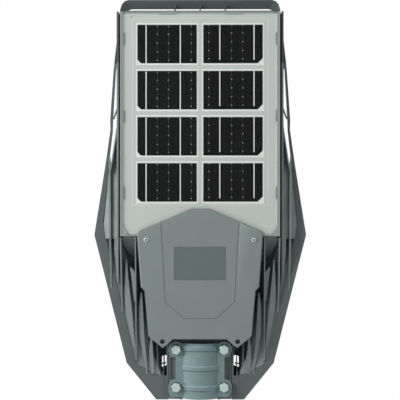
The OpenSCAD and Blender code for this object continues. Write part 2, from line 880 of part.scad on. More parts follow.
module cover_gasket() {
    color("black") translate([0, 0, box_top]) linear_extrude(cover_z - box_top)
        difference() {
            union() {
                difference() {
                    box_plan(0.6);
                    box_plan(2.6);
                }
                for (s = [-1, 1]) translate([s * screw_x, screw_y]) circle(r = 4.4);
            }
            for (s = [-1, 1]) {
                translate([s * screw_x, screw_y]) circle(r = 2.6);
                translate([s * ear_x, ear_y]) circle(r = 6.8);
            }
        }
}

module pan_screw(head_r, head_h, length) {
    difference() {
        union() {
            cylinder(r1 = head_r, r2 = head_r * 0.72, h = head_h);
            translate([0, 0, -length]) cylinder(r = pilot_r - 0.05, h = length + 0.1);
        }
        for (a = [45, 135]) rotate([0, 0, a])
            translate([-head_r * 0.55, -0.45, head_h - 1]) cube([head_r * 1.1, 0.9, 2]);
    }
}

module cover_screws() {
    color("silver") both() {
        translate([screw_x, screw_y, cover_z + cover_t]) pan_screw(3.6, 2.2, 15);
        translate([ear_x, ear_y, 31]) pan_screw(3.4, 2.2, 14);
    }
}

module rating_plate() {
    color("darkgray") translate([0, label_y, cover_z + cover_t - label_depth])
        linear_extrude(0.4)
        offset(r = 1.8, $fn = 24) square([label[0] - 4.4, label[1] - 4.4], center = true);
}

// ---------------------------------------------------------------- battery and controller

battery_y = 100 + battery_l / 2 + 6;
battery_z = -6;
battery_pitch = battery_d + 1;

module at_batteries() {
    for (i = [0:battery_n - 1])
        translate([(i - (battery_n - 1) / 2) * battery_pitch, battery_y, battery_z]) children();
}

module battery_cells() {
    color("steelblue") at_batteries() rotate([90, 0, 0]) union() {
        cylinder(d = battery_d, h = battery_l, center = true);
        translate([0, 0, battery_l / 2 - 0.1]) cylinder(r = 5, h = 1.5);
    }
}

module battery_brackets() {
    w = battery_n * battery_pitch - 4;
    color("black") for (s = [-1, 1]) difference() {
        drop = s < 0 ? 3.6 : 0;
        translate([-w / 2, battery_y + s * (battery_l / 2 - 9) - 3, floor_top + gap - drop])
            cube([w, 6, battery_z - floor_top + 8 + drop]);
        at_batteries() rotate([90, 0, 0])
            cylinder(d = battery_d + 0.4, h = battery_l + 4, center = true);
    }
}

module cell_strips() {
    w = battery_pitch * (battery_n - 1) + 8;
    color("silver") {
        translate([-w / 2, battery_y + battery_l / 2 + gap, battery_z - 4]) cube([w, 0.3, 8]);
        translate([-w / 2, battery_y - battery_l / 2 - 1.9, battery_z - 4]) cube([w, 0.3, 8]);
    }
}

module protection_board() {
    z = battery_z + battery_d / 2 + 0.6;
    color("darkgreen") translate([-50, battery_y - 10, z]) union() {
        cube([100, 20, 1.6]);
        for (i = [0:4]) translate([12 + i * 16, 6, 1.5]) cube([6, 8, 2]);
    }
}

controller = [-62, 190, 2];
controller_size = [124, 50, 1.6];
connector_x = [-46, -16, 16, 44];

module controller_board() {
    color("darkgreen") union() {
        difference() {
            translate(controller) cube(controller_size);
            for (x = [-56, 56]) for (y = [195, 235])
                translate([x, y, -5]) cylinder(r = 1.7, h = 20);
        }
        for (x = [-56, 56]) for (y = [195, 235]) translate([x, y, floor_top + gap])
            difference() {
                cylinder(r = 3.5, h = controller[2] - floor_top - gap + 0.1);
                translate([0, 0, 4]) cylinder(r = 1.7, h = 60);
            }
    }
}

module controller_parts() {
    z = controller[2] + controller_size[2];
    color("black") {
        for (i = [0:2]) translate([-42 + i * 12, 216, z]) cylinder(r = 4.5, h = 12);
        translate([18, 215, z]) difference() {
            cylinder(r = 8.5, h = 8);
            translate([0, 0, -1]) cylinder(r = 3.8, h = 10);
        }
        translate([-44, 196, z]) cube([11, 11, 2]);
        for (i = [0:3]) translate([-20 + i * 12, 194, z]) cube([8, 10, 4]);
        translate([40, 200, z]) cube([9, 6, 3]);
    }
}

// Wire sockets, open at the top
module wire_connectors() {
    z = controller[2] + controller_size[2];
    color("white") for (x = connector_x)
        translate([x - 5, 230, z]) difference() {
            cube([10, 9, 7]);
            translate([1, 1, 2]) cube([8, 7, 8]);
        }
}

// ---------------------------------------------------------------- light

module heat_spreader() {
    color("silver") difference() {
        translate([-window[0] / 2 - 5, window_y - window[1] / 2 - 8, spreader_z])
            cube([window[0] + 10, window[1] + 16, spreader_t]);
        spreader_screw_holes(spreader_z - 1, 6);
        for (x = [-1, 1]) for (y = [-1, 0, 1])
            translate([x * 2, window_y + y * 60, spreader_z - 1]) cylinder(r = 1.5, h = 6);
    }
}

module at_modules() {
    for (sx = [-1, 1]) for (sy = [-1, 1])
        translate([sx * (module_w + module_gap) / 2, window_y + sy * (module_l + module_gap) / 2, 0])
            children();
}

module led_board() {
    color("white") translate([-window[0] / 2 + 2, window_y - window[1] / 2 + 2, led_z])
        cube([window[0] - 4, window[1] - 4, board_t - 0.05]);
}

module led_chips() {
    dx = (module_w - 12) / led_cols;
    dy = (module_l - 12) / led_rows;
    color("gold") at_modules() for (i = [0:led_cols - 1]) for (j = [0:led_rows - 1])
        translate([
            (i - (led_cols - 1) / 2) * dx - led_w / 2,
            (j - (led_rows - 1) / 2) * dy - led_w / 2, led_z - led_t
        ]) cube([led_w, led_w, led_t]);
}

module lens_gaskets() {
    color("black") at_modules() translate([0, 0, led_z - gasket_t]) difference() {
        translate([-module_w / 2 + 1, -module_l / 2 + 1, 0])
            cube([module_w - 2, module_l - 2, gasket_t]);
        translate([-module_w / 2 + 3.5, -module_l / 2 + 3.5, -1])
            cube([module_w - 7, module_l - 7, gasket_t + 2]);
    }
}

module lens_modules() {
    dx = (module_w - 12) / led_cols;
    dy = (module_l - 12) / led_rows;
    color("whitesmoke") at_modules() translate([0, 0, lens_z]) union() {
        translate([-module_w / 2, -module_l / 2, 0]) cube([module_w, module_l, lens_t]);
        for (i = [0:led_cols - 1]) for (j = [0:led_rows - 1])
            translate([(i - (led_cols - 1) / 2) * dx, (j - (led_rows - 1) / 2) * dy, -1.8])
                cylinder(r1 = 3.5, r2 = 6, h = 1.9, $fn = 24);
    }
}

module module_frame(size, z, h) {
    at_modules() translate([-size[0] / 2, -size[1] / 2, z]) cube([size[0], size[1], h]);
}

// Frame that holds the four lens modules against the housing
module lens_bezel() {
    color("gray") difference() {
        translate([-window[0] / 2 - 9, window_y - window[1] / 2 - 9, bezel_z])
            cube([window[0] + 18, window[1] + 18, under_z - bezel_z - gap]);
        module_frame([module_w + 0.4, module_l + 0.4], lens_z - 0.05, 10);
        module_frame([module_w - 5, module_l - 5], bezel_z - 1, 10);
        spreader_screw_holes(bezel_z - 1, 10);
    }
}

module module_screws() {
    color("silver") for (y = [window_y - 134, window_y + 134]) for (x = [-60, 0, 60])
        translate([x, y, bezel_z]) mirror([0, 0, 1]) union() {
            cylinder(r1 = 3.2, r2 = 2.4, h = 1.6);
            translate([0, 0, -10]) cylinder(r = 1.6, h = 10.1);
        }
}

// ---------------------------------------------------------------- sensor and button

module sensor_board() {
    z = floor_top + gap;
    color("darkgreen") difference() {
        union() {
            translate([-56, sensor_y - 16, sensor_board_z]) cube([112, 32, 1.6]);
            for (x = [-52, 52]) for (y = [-12, 12]) translate([x, sensor_y + y, z])
                cylinder(r = 2.5, h = sensor_board_z - z + 0.1);
        }
        translate([-sensor_dx, sensor_y, sensor_board_z - 1]) cylinder(r = 3, h = 4);
    }
}

module sensor_parts() {
    z = sensor_board_z;
    color("silver") {
        translate([0, sensor_y, z - 4.5]) cylinder(r = 4.6, h = 4.5);
        translate([sensor_dx - 3, sensor_y - 3, z - 6]) cube([6, 6, 6]);
        for (x = [-22, 20]) translate([x, sensor_y + 4, z + 1.6]) cube([6, 4, 2]);
    }
}

module sensor_dome() {
    color("white") translate([0, sensor_y, under_z]) difference() {
        union() {
            cylinder(r = dome_r, h = wall + 0.5);
            translate([0, 0, wall + gap]) cylinder(r = dome_r + 2, h = 1);
            intersection() {
                translate([0, 0, 1]) sphere(r = dome_r);
                translate([-20, -20, -20]) cube([40, 40, 21]);
            }
        }
        translate([0, 0, 1]) sphere(r = dome_r - 1.4);
        cylinder(r = dome_r - 1.4, h = 10);
    }
}

module indicator_window() {
    color("red") translate([sensor_dx, sensor_y, under_z - 0.8]) union() {
        cylinder(r = led_window_r, h = wall + 1.2);
        translate([0, 0, wall + 0.8 + gap]) cylinder(r = led_window_r + 1.5, h = 1);
    }
}

module switch_body() {
    color("dimgray") translate([-sensor_dx, sensor_y, sensor_board_z + 1.6]) difference() {
        translate([-7, -7, 0]) cube([14, 14, 12]);
        translate([0, 0, -1]) cylinder(r = 2.6, h = 10);
    }
}

module button_seal() {
    color("black") translate([-sensor_dx, sensor_y, floor_top + gap]) difference() {
        cylinder(r = button_r + 3.6, h = 2.4);
        translate([0, 0, -1]) cylinder(r = button_r + 2.4, h = 5);
    }
}

module power_button() {
    color("firebrick") translate([-sensor_dx, sensor_y, under_z - 3]) union() {
        cylinder(r1 = button_r - 0.8, r2 = button_r, h = 0.8);
        translate([0, 0, 0.8]) cylinder(r = button_r, h = 6.5);
        translate([0, 0, 6.4]) cylinder(r = button_r + 1.6, h = 1.2);
        translate([0, 0, 7]) cylinder(r = 2.5, h = sensor_board_z - under_z + 1.6);
    }
}

// ---------------------------------------------------------------- leads

lead_r = 1.6;

battery_route = [
    [-43, 136, 14], [-50, 140, 15], [-58, 152, 17], [-61, 175, 18], [-58, 205, 17],
    [-50, 228, 15], [-46, 234, 12], [-46, 234.5, 7]
];
panel_route = [
    [0, 499.8, 30.9], [0, 494, 30], [1, 482, 22], [4, 440, 0], [0, 350, -8], [-3, 285, 1],
    [-3.5, 262, 6], [-3.5, 248, 6.5], [-8, 242, 12], [-15, 236, 14], [-16, 234.5, 7]
];
led_route = [
    [60, 556, spreader_z + spreader_t + 0.6], [60, 556, -14], [57, 538, -10], [50, 440, -10],
    [30, 330, -8], [8, 285, 1], [3.5, 262, 6], [3.5, 248, 6.5], [8, 242, 12], [15, 236, 14],
    [16, 234.5, 7]
];
sensor_route = [
    [49, 222, sensor_board_z + 2.2], [49, 222, -8], [66, 220, -2], [69, 224, 6], [62, 230, 13],
    [48, 234, 14], [44, 234.5, 7]
];

module battery_lead() color("red") wire(smooth(battery_route), lead_r);
module panel_lead() color("black") wire(smooth(panel_route), lead_r);
module led_lead() color("red") wire(smooth(led_route), lead_r);
module sensor_lead() color("black") wire(smooth(sensor_route), lead_r);

// ---------------------------------------------------------------- assembly

main_housing();
pole_cradle();
cradle_screws();
panel_tray();
tray_screws();
adhesive_pads();
panel_backsheet();
solar_cells();
cell_ribbons();
panel_front_sheet();
panel_junction();
battery_cover();
cover_gasket();
cover_screws();
rating_plate();
battery_cells();
battery_brackets();
cell_strips();
protection_board();
controller_board();
controller_parts();
wire_connectors();
heat_spreader();
led_board();
led_chips();
lens_gaskets();
lens_modules();
lens_bezel();
module_screws();
sensor_board();
sensor_parts();
sensor_dome();
indicator_window();
switch_body();
button_seal();
power_button();
battery_lead();
panel_lead();
led_lead();
sensor_lead();
clamp_saddle();
flat_washers();
spring_washers();
hex_bolt(-bolt_dx / 2, bolt_y0);  // clamp_bolt_rear_left
hex_bolt(bolt_dx / 2, bolt_y0);  // clamp_bolt_rear_right
hex_bolt(-bolt_dx / 2, bolt_y1);  // clamp_bolt_front_left
hex_bolt(bolt_dx / 2, bolt_y1);  // clamp_bolt_front_right
clamp_nuts();
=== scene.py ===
"""Looks for the solar street lamp: materials, small surface detail, light and camera around the CAD frame."""
import math

import bmesh
import bpy
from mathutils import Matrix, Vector


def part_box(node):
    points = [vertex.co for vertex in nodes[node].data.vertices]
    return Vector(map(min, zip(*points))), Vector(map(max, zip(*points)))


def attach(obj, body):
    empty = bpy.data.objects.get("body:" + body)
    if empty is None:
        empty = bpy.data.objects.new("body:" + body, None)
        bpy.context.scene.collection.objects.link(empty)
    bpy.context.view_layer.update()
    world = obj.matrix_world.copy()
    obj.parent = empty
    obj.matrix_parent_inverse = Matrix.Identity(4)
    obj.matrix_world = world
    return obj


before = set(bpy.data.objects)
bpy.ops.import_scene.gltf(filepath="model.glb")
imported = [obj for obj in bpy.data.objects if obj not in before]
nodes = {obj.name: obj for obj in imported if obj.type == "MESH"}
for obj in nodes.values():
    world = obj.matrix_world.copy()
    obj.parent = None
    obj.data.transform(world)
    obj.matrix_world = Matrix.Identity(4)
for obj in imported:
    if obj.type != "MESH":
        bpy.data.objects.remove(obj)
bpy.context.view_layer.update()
scene = bpy.context.scene
scene.view_settings.view_transform = "Standard"
MM = 0.001


# ---------------------------------------------------------------- material helpers

def linear(r, g, b):
    """Linear colour of a screen colour given as 0 to 255."""
    def one(v):
        v /= 255
        return v / 12.92 if v <= 0.04045 else ((v + 0.055) / 1.055) ** 2.4
    return (one(r), one(g), one(b), 1)


def shaded(colour, factor):
    """Colour made darker or lighter by a factor."""
    return (colour[0] * factor, colour[1] * factor, colour[2] * factor, 1)


def material(name, colour, rough=0.5, metal=0.0, spec=0.5, **inputs):
    mat = bpy.data.materials.new(name)
    mat.use_nodes = True
    shader = mat.node_tree.nodes["Principled BSDF"]
    shader.inputs["Base Color"].default_value = colour
    shader.inputs["Roughness"].default_value = rough
    shader.inputs["Metallic"].default_value = metal
    shader.inputs["Specular IOR Level"].default_value = spec
    for key, value in inputs.items():
        shader.inputs[key.replace("_", " ")].default_value = value
    return mat


def coordinates(mat):
    """Place of the surface in the part's own frame, in metres."""
    tree = mat.node_tree
    node = tree.nodes.get("Texture Coordinate") or tree.nodes.new("ShaderNodeTexCoord")
    return node.outputs["Object"]


def facing(mat):
    """Direction that the surface faces, in the part's own frame."""
    return mat.node_tree.nodes.new("ShaderNodeNewGeometry").outputs["Normal"]


def noise(mat, scale, detail=3.0, rough=0.6, stretch=None):
    tree = mat.node_tree
    source = coordinates(mat)
    if stretch:
        node = tree.nodes.new("ShaderNodeMapping")
        node.inputs["Scale"].default_value = stretch
        tree.links.new(source, node.inputs["Vector"])
        source = node.outputs["Vector"]
    node = tree.nodes.new("ShaderNodeTexNoise")
    node.inputs["Scale"].default_value = scale
    node.inputs["Detail"].default_value = detail
    node.inputs["Roughness"].default_value = rough
    tree.links.new(source, node.inputs["Vector"])
    return node.outputs["Fac"]


def ramp(mat, source, low, high, start=0.35, end=0.65):
    node = mat.node_tree.nodes.new("ShaderNodeValToRGB")
    node.color_ramp.elements[0].position = start
    node.color_ramp.elements[1].position = end
    node.color_ramp.elements[0].color = low
    node.color_ramp.elements[1].color = high
    mat.node_tree.links.new(source, node.inputs["Fac"])
    return node.outputs["Color"]


def grain(mat, scale, depth, distance):
    """Fine moulded or cast surface texture."""
    tree = mat.node_tree
    bump = tree.nodes.new("ShaderNodeBump")
    bump.inputs["Strength"].default_value = depth
    bump.inputs["Distance"].default_value = distance
    tree.links.new(noise(mat, scale, 2.0), bump.inputs["Height"])
    tree.links.new(bump.outputs["Normal"], tree.nodes["Principled BSDF"].inputs["Normal"])


def vary(mat, colour, amount=0.06, scale=22, stretch=None):
    """Slow, faint change of colour over the surface."""
    low, high = shaded(colour, 1 - amount), shaded(colour, 1 + amount)
    out = ramp(mat, noise(mat, scale, 4.0, stretch=stretch), low, high, 0.3, 0.7)
    mat.node_tree.links.new(out, mat.node_tree.nodes["Principled BSDF"].inputs["Base Color"])


def worn(mat, low, high, scale=90):
    """Roughness that changes a little from place to place."""
    tree = mat.node_tree
    node = tree.nodes.new("ShaderNodeMapRange")
    node.inputs["From Min"].default_value = 0.3
    node.inputs["From Max"].default_value = 0.7
    node.inputs["To Min"].default_value = low
    node.inputs["To Max"].default_value = high
    tree.links.new(noise(mat, scale, 4.0), node.inputs["Value"])
    tree.links.new(node.outputs[0], tree.nodes["Principled BSDF"].inputs["Roughness"])


def math_node(mat, operation, *values):
    """One Math node; each value is a number or another node's output."""
    node = mat.node_tree.nodes.new("ShaderNodeMath")
    node.operation = operation
    for socket, value in zip(node.inputs, values):
        if isinstance(value, (int, float)):
            socket.default_value = value
        else:
            mat.node_tree.links.new(value, socket)
    return node.outputs[0]


def split(mat, vector):
    """The three parts of a vector."""
    node = mat.node_tree.nodes.new("ShaderNodeSeparateXYZ")
    mat.node_tree.links.new(vector, node.inputs[0])
    return node.outputs


def all_of(mat, *masks):
    """1 where every mask is 1."""
    out = masks[0]
    for mask in masks[1:]:
        out = math_node(mat, "MULTIPLY", out, mask)
    return out


def between(mat, value, low, high):
    """1 where the value lies between low and high."""
    return math_node(mat, "COMPARE", value, (low + high) / 2, (high - low) / 2)


def tint(mat, mask, factor):
    """Multiplies the base colour by factor where the mask is 1."""
    tree = mat.node_tree
    base = tree.nodes["Principled BSDF"].inputs["Base Color"]
    mix = tree.nodes.new("ShaderNodeMix")
    mix.data_type = "RGBA"
    mix.blend_type = "MULTIPLY"
    mix.inputs["B"].default_value = (*factor, 1)
    if base.links:
        tree.links.new(base.links[0].from_socket, mix.inputs["A"])
    else:
        mix.inputs["A"].default_value = base.default_value
    tree.links.new(mask, mix.inputs["Factor"])
    tree.links.new(mix.outputs["Result"], base)


def moulded(name, colour, rough=0.5, texture=(1800, 0.25, 0.0002), **kw):
    """Moulded or cast surface; texture is the scale, depth and distance of its grain."""
    mat = material(name, colour, rough, **kw)
    vary(mat, colour, 0.035)
    worn(mat, rough - 0.05, rough + 0.07)
    grain(mat, *texture)
    return mat


# ---------------------------------------------------------------- materials

PLASTIC = linear(136, 147, 146)
BAR_START = 520 * MM


def housing_plastic():
    """Moulded plastic; the rim's flat lip is darker, and the front bar's upward faces are darkened as painted
    shade.
    """
    mat = moulded("housing_plastic", PLASTIC, 0.5, spec=0.35)
    y, z = split(mat, coordinates(mat))[1:]
    up = split(mat, facing(mat))[2]
    lip = all_of(mat, between(mat, z, 7.9 * MM, 14.8 * MM),
                 math_node(mat, "GREATER_THAN", up, 0.985),
                 math_node(mat, "LESS_THAN", y, BAR_START))
    tint(mat, lip, (0.53, 0.53, 0.53))
    # painted shade: the front bar's upward faces are darkened, as though turned away from the light
    bar_painted_shade = all_of(mat, math_node(mat, "GREATER_THAN", y, BAR_START),
                 math_node(mat, "GREATER_THAN", up, 0.8))
    tint(mat, bar_painted_shade, (0.42, 0.42, 0.42))
    return mat


def tray_plastic():
    """Lighter plastic; the clips' tongues over the panel are darker, and the front lip is darkened as painted
    shadow.
    """
    mat = moulded("tray_plastic", linear(160, 168, 165), 0.5, spec=0.35)
    x, y, z = split(mat, coordinates(mat))
    from_middle = math_node(mat, "ABSOLUTE", x)
    clip = all_of(mat, math_node(mat, "LESS_THAN", from_middle, 118.25 * MM),
                  math_node(mat, "GREATER_THAN", from_middle, 114 * MM),
                  math_node(mat, "GREATER_THAN", z, 36.5 * MM),
                  math_node(mat, "GREATER_THAN", y, 300 * MM))
    tint(mat, clip, (0.55, 0.57, 0.57))
    # painted shadow: the tray's front wall and lip are darkened
    tint(mat, math_node(mat, "GREATER_THAN", y, 597.6 * MM), (0.32, 0.34, 0.34))
    return mat


def front_film():
    """Front laminate: lets nearly everything through and adds a weak sheen."""
    mat = bpy.data.materials.new("front_film")
    mat.use_nodes = True
    tree = mat.node_tree
    tree.nodes.remove(tree.nodes["Principled BSDF"])
    mix = tree.nodes.new("ShaderNodeMixShader")
    clear = tree.nodes.new("ShaderNodeBsdfTransparent")
    gloss = tree.nodes.new("ShaderNodeBsdfGlossy")
    gloss.inputs["Roughness"].default_value = 0.12
    mix.inputs["Fac"].default_value = 0.009
    tree.links.new(clear.outputs[0], mix.inputs[1])
    tree.links.new(gloss.outputs[0], mix.inputs[2])
    tree.links.new(mix.outputs[0], tree.nodes["Material Output"].inputs["Surface"])
    return mat


def zinc():
    mat = material("zinc_plate", linear(214, 236, 229), 0.34, 0.3)
    vary(mat, linear(214, 236, 229), 0.1, 260)
    worn(mat, 0.26, 0.42, 400)
    return mat


def sunk_zinc():
    """Cover screws: the two at the rear sit deep in their holes and are darkened as painted shade."""
    mat = material("sunk_zinc", linear(240, 242, 240), 0.34, 0.3)
    y = split(mat, coordinates(mat))[1]
    # painted shade: the rear screws are darkened where they sit deep in their holes
    tint(mat, math_node(mat, "LESS_THAN", y, 150 * MM), (0.2, 0.2, 0.2))
    return mat


def backsheet():
    mat = material("backsheet", linear(206, 213, 208), 0.3, spec=0.3)
    vary(mat, linear(206, 213, 208), 0.02, 9)
    return mat


def printed_white():
    """White screen print around the cells."""
    mat = material("cell_print", linear(240, 243, 242), 0.45, spec=0.25)
    vary(mat, linear(240, 243, 242), 0.03, 60)
    return mat


def silicon():
    """Dark cells of slightly uneven tone, the right-hand row a little darker."""
    mat = material("silicon", linear(20, 22, 22), 0.3, spec=0.11)
    tree = mat.node_tree
    tone = ramp(mat, noise(mat, 14, 2.0), linear(13, 15, 15), linear(18, 20, 20), 0.3, 0.7)
    tree.links.new(tone, tree.nodes["Principled BSDF"].inputs["Base Color"])
    x = split(mat, coordinates(mat))[0]
    tint(mat, math_node(mat, "GREATER_THAN", x, 0), (0.78, 0.78, 0.78))
    worn(mat, 0.3, 0.36, 30)
    return mat


def tinned():
    mat = material("tinned_ribbon", linear(248, 250, 250), 0.42, 0.1)
    vary(mat, linear(244, 246, 246), 0.04, 380, stretch=(1, 0.2, 1))
    return mat


def cast_paint():
    """Glossy paint, with a painted highlight on the faces that face forward and painted shade on those that
    face back.
    """
    mat = moulded("cast_paint", linear(126, 150, 153), 0.24, (900, 0.2, 0.0003), spec=0.75)
    forward = split(mat, facing(mat))[1]
    # painted highlight on faces that turn forward, painted shade on faces that turn back
    tint(mat, math_node(mat, "GREATER_THAN", forward, 0.2), (1.4, 1.36, 1.34))
    tint(mat, math_node(mat, "LESS_THAN", forward, -0.2), (0.7, 0.72, 0.72))
    return mat


def circuit_board(name, colour):
    """Lacquered board, mottled by the copper under the lacquer."""
    mat = material(name, colour, 0.35)
    vary(mat, colour, 0.12, 240)
    return mat


def plain(name, colour, rough=0.5, metal=0.0, spec=0.5, amount=0.06, scale=60, **kw):
    """Material with a faint change of tone and of roughness."""
    mat = material(name, colour, rough, metal, spec, **kw)
    vary(mat, colour, amount, scale)
    worn(mat, max(rough - 0.06, 0.02), rough + 0.06, scale * 2)
    return mat


def lens_plastic():
    """Clear lens: bright plastic with the light passing only in part, so it reads from outside."""
    mat = material("lens_plastic", linear(236, 240, 240), 0.08, Transmission_Weight=0.75)
    worn(mat, 0.05, 0.12, 120)
    return mat


HOUSING = housing_plastic()
COVER = moulded("cover_plastic", PLASTIC, 0.5, spec=0.35)
RIB = moulded("rib_plastic", linear(120, 130, 129), 0.5, spec=0.35)
TRAY = tray_plastic()
CAST = cast_paint()
CRADLE = moulded("cradle_paint", linear(128, 138, 136), 0.45, spec=0.4)
ZINC = zinc()
SUNK_ZINC = sunk_zinc()
# Washers: zinc darkened as painted shade, standing for the shadow ring round the bolt heads
WASHER_ZINC_PAINTED_SHADE = plain("washer_zinc_painted_shade", linear(96, 110, 112), 0.5, 0.2, scale=300)
BACKSHEET = backsheet()
PRINT = printed_white()
LAMINATE = plain("laminate_line", linear(236, 241, 238), 0.4)
SILICON = silicon()
TINNED = tinned()
SILVER = plain("silver_paste", linear(196, 200, 198), 0.45, 0.1, scale=300)
FINE_SILVER = plain("fine_silver_paste", linear(78, 80, 80), 0.45, 0.1, scale=300)
FILM = front_film()
LABEL = moulded("rating_plate", linear(108, 119, 119), 0.4, spec=0.35)
BLACK = plain("black_plastic", linear(26, 27, 28), 0.5)
RUBBER = plain("black_rubber", linear(22, 22, 22), 0.75, spec=0.2)
FOAM = plain("foam", linear(214, 214, 208), 0.8, amount=0.1, scale=400)
WRAP = plain("cell_wrap", linear(28, 74, 150), 0.35)
BOARD = circuit_board("board_green", linear(16, 84, 50))
BOARD_WHITE = circuit_board("board_white", linear(228, 230, 228))
NYLON = plain("nylon", linear(222, 218, 205))
ALLOY = plain("alloy", linear(196, 198, 200), 0.4, 0.9, scale=200)
PHOSPHOR = plain("phosphor", linear(236, 205, 84), 0.45)
RED = plain("red_plastic", linear(190, 26, 24), 0.35)
WIRE_RED = plain("wire_red", linear(170, 20, 20), 0.45)
DOME = plain("dome_plastic", linear(226, 228, 226), 0.4, Transmission_Weight=0.2)
CLEAR = lens_plastic()

CAD_MATERIALS = {
    HOUSING: ["main_housing"],
    COVER: ["battery_cover"],
    TRAY: ["panel_tray", "lens_bezel"],
    CRADLE: ["pole_cradle"],
    CAST: ["clamp_saddle"],
    SUNK_ZINC: ["cover_screws"],
    WASHER_ZINC_PAINTED_SHADE: ["flat_washers", "spring_washers"],
    ZINC: ["cradle_screws", "tray_screws", "module_screws", "clamp_nuts", "clamp_bolt_rear_left",
           "clamp_bolt_rear_right", "clamp_bolt_front_left", "clamp_bolt_front_right"],
    BACKSHEET: ["panel_backsheet"],
    SILICON: ["solar_cells"],
    TINNED: ["cell_ribbons"],
    FILM: ["panel_front_sheet"],
    LABEL: ["rating_plate"],
    BLACK: ["panel_junction", "battery_brackets", "controller_parts", "switch_body"],
    RUBBER: ["cover_gasket", "lens_gaskets", "button_seal", "panel_lead", "sensor_lead"],
    FOAM: ["adhesive_pads"],
    WRAP: ["battery_cells"],
    BOARD: ["protection_board", "controller_board", "sensor_board"],
    BOARD_WHITE: ["led_board"],
    NYLON: ["wire_connectors"],
    ALLOY: ["heat_spreader", "cell_strips", "sensor_parts"],
    PHOSPHOR: ["led_chips"],
    RED: ["power_button", "indicator_window"],
    WIRE_RED: ["battery_lead", "led_lead"],
    DOME: ["sensor_dome"],
    CLEAR: ["lens_modules"],
}
for mat, names in CAD_MATERIALS.items():
    for name in names:
        obj = nodes[name]
        obj.data.materials.clear()
        obj.data.materials.append(mat)


def soften(name, width):
    """Rounds the sharp edges of a CAD node in the render."""
    obj = nodes[name]
    weld = obj.modifiers.new("weld", "WELD")
    weld.merge_threshold = 0.02 * MM
    flat = obj.modifiers.new("flat", "DECIMATE")
    flat.decimate_type = "DISSOLVE"
    flat.angle_limit = math.radians(0.6)
    bevel = obj.modifiers.new("bevel", "BEVEL")
    bevel.width = width
    bevel.segments = 2
    bevel.limit_method = "ANGLE"
    bevel.angle_limit = math.radians(28)
    even = obj.modifiers.new("even", "WEIGHTED_NORMAL")
    even.weight = 80
    for p in obj.data.polygons:
        p.use_smooth = True


soften("battery_cover", 0.4 * MM)
soften("clamp_saddle", 0.7 * MM)
soften("pole_cradle", 0.5 * MM)
soften("panel_tray", 0.25 * MM)
soften("lens_bezel", 0.4 * MM)


# ---------------------------------------------------------------- mesh helpers

def add_piece(name, bm, mat, body):
    """New object from a bmesh, on one body and in one material slot."""
    mesh = bpy.data.meshes.new(name)
    bmesh.ops.recalc_face_normals(bm, faces=bm.faces)
    bm.to_mesh(mesh)
    bm.free()
    mesh.materials.append(mat)
    obj = bpy.data.objects.new(name, mesh)
    scene.collection.objects.link(obj)
    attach(obj, body)
    return obj


def ring_faces(bm, a, b):
    """Band of faces between two closed rows of points."""
    n = len(a)
    for i in range(n):
        bm.faces.new((a[i], a[(i + 1) % n], b[(i + 1) % n], b[i]))


def prism(bm, outline, z0, z1):
    """Closed upright prism on an outline."""
    low, high = ([bm.verts.new((x, y, z)) for x, y in outline] for z in (z0, z1))
    ring_faces(bm, low, high)
    bm.faces.new(low[::-1])
    bm.faces.new(high)


def slab(bm, x0, x1, y0, y1, z0, z1):
    """Closed rectangular strip."""
    prism(bm, [(x0, y0), (x1, y0), (x1, y1), (x0, y1)], z0, z1)


def disc(bm, x, y, z0, z1, r, sides=10):
    """Closed flat disc about (x, y)."""
    angles = [2 * math.pi * k / sides for k in range(sides)]
    prism(bm, [(x + r * math.cos(a), y + r * math.sin(a)) for a in angles], z0, z1)


def flat_ring(bm, inner, outer, z0, z1):
    """Closed flat band between two outlines with the same number of points."""
    rows = [[bm.verts.new((x, y, z)) for x, y in line]
            for line, z in ((inner, z0), (outer, z0), (outer, z1), (inner, z1))]
    for a, b in zip(rows, rows[1:] + rows[:1]):
        ring_faces(bm, a, b)


# ---------------------------------------------------------------- housing, cradle and cover

def cradle_lips():
    """Edge of the cradle at the mouth of the socket, on both sides of the pole."""
    inner, outer = 31 * MM, 48.6 * MM
    bm = bmesh.new()
    for x0, x1 in ((-outer, -inner), (inner, outer)):
        slab(bm, x0, x1, 0.6 * MM, 5 * MM, 8 * MM, 13.8 * MM)
    add_piece("cradle_lips", bm, CRADLE, "lamp")


def screw_recesses():
    """Cross recesses of the two front cover screws, drawn as black slabs: painted shade in the hollows."""
    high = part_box("cover_screws")[1]
    head_r, reach, half_w = 3.6 * MM, 1.9 * MM, 0.45 * MM
    y, z = high[1] - head_r, high[2]
    bm = bmesh.new()
    for x in (head_r - high[0], high[0] - head_r):
        for a, b in ((reach, half_w), (half_w, reach)):
            slab(bm, x - a, x + a, y - b, y + b, z - 0.3 * MM, z + 0.04 * MM)
    # black slabs: painted shade in the cross recesses
    add_piece("screw_recesses", bm, BLACK, "lamp")


def rear_ribs():
    """Thin ribs that run from the drain slots over the rear rim."""
    t = 1 * MM
    bm = bmesh.new()
    for x in (-57.4 * MM, 57.4 * MM):
        slab(bm, x - t / 2, x + t / 2, 1.5 * MM, 43 * MM, 9 * MM, 15 * MM)
    add_piece("rear_ribs", bm, RIB, "lamp")


cradle_lips()
screw_recesses()
rear_ribs()


# ---------------------------------------------------------------- solar panel

low_cell, high_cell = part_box("solar_cells")
high_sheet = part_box("panel_backsheet")[1]
CELL_W = 91 * MM
CELL_L = 59 * MM
CELL_CUT = {-1: 5.5 * MM, 1: 7.8 * MM}      # cut corner of the left and the right column
ROWS = 4
INNER_X = high_cell[0] - CELL_W
ROW_PITCH = (high_cell[1] - low_cell[1] - CELL_L) / (ROWS - 1)
SHEET_TOP = high_sheet[2]
PRINT_Z = SHEET_TOP + 0.005 * MM
PRINT_TOP = SHEET_TOP + 0.03 * MM
CELL_TOP = high_cell[2]


def each_cell():
    """Column (-1 left, 1 right) and Y of the rear edge of each cell."""
    for side in (-1, 1):
        for row in range(ROWS):
            yield side, low_cell[1] + row * ROW_PITCH


